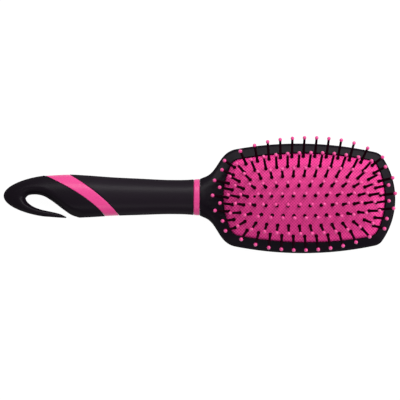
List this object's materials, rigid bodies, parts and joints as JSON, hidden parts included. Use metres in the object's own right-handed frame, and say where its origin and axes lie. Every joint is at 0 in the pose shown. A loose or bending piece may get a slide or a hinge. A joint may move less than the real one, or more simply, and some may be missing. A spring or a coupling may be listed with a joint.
{
  "type": "paddle hair brush",
  "caption": "Cushioned paddle hair brush: a flat rounded head with ball-tipped pins standing in a domed rubber pad, on a waisted handle that ends in a hanging hook.",
  "frame": {"origin": "middle of the outline on the plane that the brush rests on, lying on its back", "axes": "+X along the handle to the head, +Z out of the cushion along the pins, +Y across, away from the hook gap"},
  "size_m": [0.25, 0.0723, 0.0395],
  "materials": {
    "soft_black": "soft-touch satin black",
    "pink_gloss": "smooth gloss pink",
    "cushion_rubber": "satin pink rubber with a fine diagonal cross-hatch",
    "pin_nylon": "gloss black nylon, the ball tips dipped in gloss pink",
    "raw_plastic": "dark moulded plastic, hidden in use"
  },
  "bodies": {
    "brush_body": {"back_shell": "soft_black", "head_frame": "soft_black", "cushion_retainer": "raw_plastic", "neck_ring": "pink_gloss", "grip_sleeve": "soft_black", "accent_band": "pink_gloss", "hook_cap": "soft_black", "handle_core": "raw_plastic"},
    "cushion": {"cushion_pad": "cushion_rubber"},
    "pin_row_1": {"pin_strip_1": "pin_nylon"},
    "pin_row_2": {"pin_strip_2": "pin_nylon"},
    "pin_row_3": {"pin_strip_3": "pin_nylon"},
    "pin_row_4": {"pin_strip_4": "pin_nylon"},
    "pin_row_5": {"pin_strip_5": "pin_nylon"},
    "pin_row_6": {"pin_strip_6": "pin_nylon"},
    "pin_row_7": {"pin_strip_7": "pin_nylon"},
    "pin_row_8": {"pin_strip_8": "pin_nylon"},
    "pin_row_9": {"pin_strip_9": "pin_nylon"}
  },
  "joints": [
    {"name": "cushion_press", "type": "slide", "parent": "brush_body", "child": "cushion", "axis": [0, 0, 1], "range_m": [-0.0025, 0], "stiffness_N_per_m": 1500, "deforming": ["cushion_pad"]},
    {"name": "row_1_lean", "type": "hinge", "parent": "cushion", "child": "pin_row_1", "pos_m": [0.06577, 0.02602, 0.01226], "axis": [0.9998, 0.0209, 0], "range_deg": [-6, 6], "stiffness_Nm_per_rad": 0.05},
    {"name": "row_2_lean", "type": "hinge", "parent": "cushion", "child": "pin_row_2", "pos_m": [0.0659, 0.01971, 0.01579], "axis": [0.9998, 0.0209, 0], "range_deg": [-6, 6], "stiffness_Nm_per_rad": 0.05},
    {"name": "row_3_lean", "type": "hinge", "parent": "cushion", "child": "pin_row_3", "pos_m": [0.06603, 0.01339, 0.01765], "axis": [0.9998, 0.0209, 0], "range_deg": [-6, 6], "stiffness_Nm_per_rad": 0.05},
    {"name": "row_4_lean", "type": "hinge", "parent": "cushion", "child": "pin_row_4", "pos_m": [0.06617, 0.00707, 0.01837], "axis": [0.9998, 0.0209, 0], "range_deg": [-6, 6], "stiffness_Nm_per_rad": 0.05},
    {"name": "row_5_lean", "type": "hinge", "parent": "cushion", "child": "pin_row_5", "pos_m": [0.0663, 0.00075, 0.0185], "axis": [0.9998, 0.0209, 0], "range_deg": [-6, 6], "stiffness_Nm_per_rad": 0.05},
    {"name": "row_6_lean", "type": "hinge", "parent": "cushion", "child": "pin_row_6", "pos_m": [0.06643, -0.00557, 0.01844], "axis": [0.9998, 0.0209, 0], "range_deg": [-6, 6], "stiffness_Nm_per_rad": 0.05},
    {"name": "row_7_lean", "type": "hinge", "parent": "cushion", "child": "pin_row_7", "pos_m": [0.06656, -0.01189, 0.01791], "axis": [0.9998, 0.0209, 0], "range_deg": [-6, 6], "stiffness_Nm_per_rad": 0.05},
    {"name": "row_8_lean", "type": "hinge", "parent": "cushion", "child": "pin_row_8", "pos_m": [0.0667, -0.01821, 0.01636], "axis": [0.9998, 0.0209, 0], "range_deg": [-6, 6], "stiffness_Nm_per_rad": 0.05},
    {"name": "row_9_lean", "type": "hinge", "parent": "cushion", "child": "pin_row_9", "pos_m": [0.06683, -0.02452, 0.01328], "axis": [0.9998, 0.0209, 0], "range_deg": [-6, 6], "stiffness_Nm_per_rad": 0.05}
  ]
}
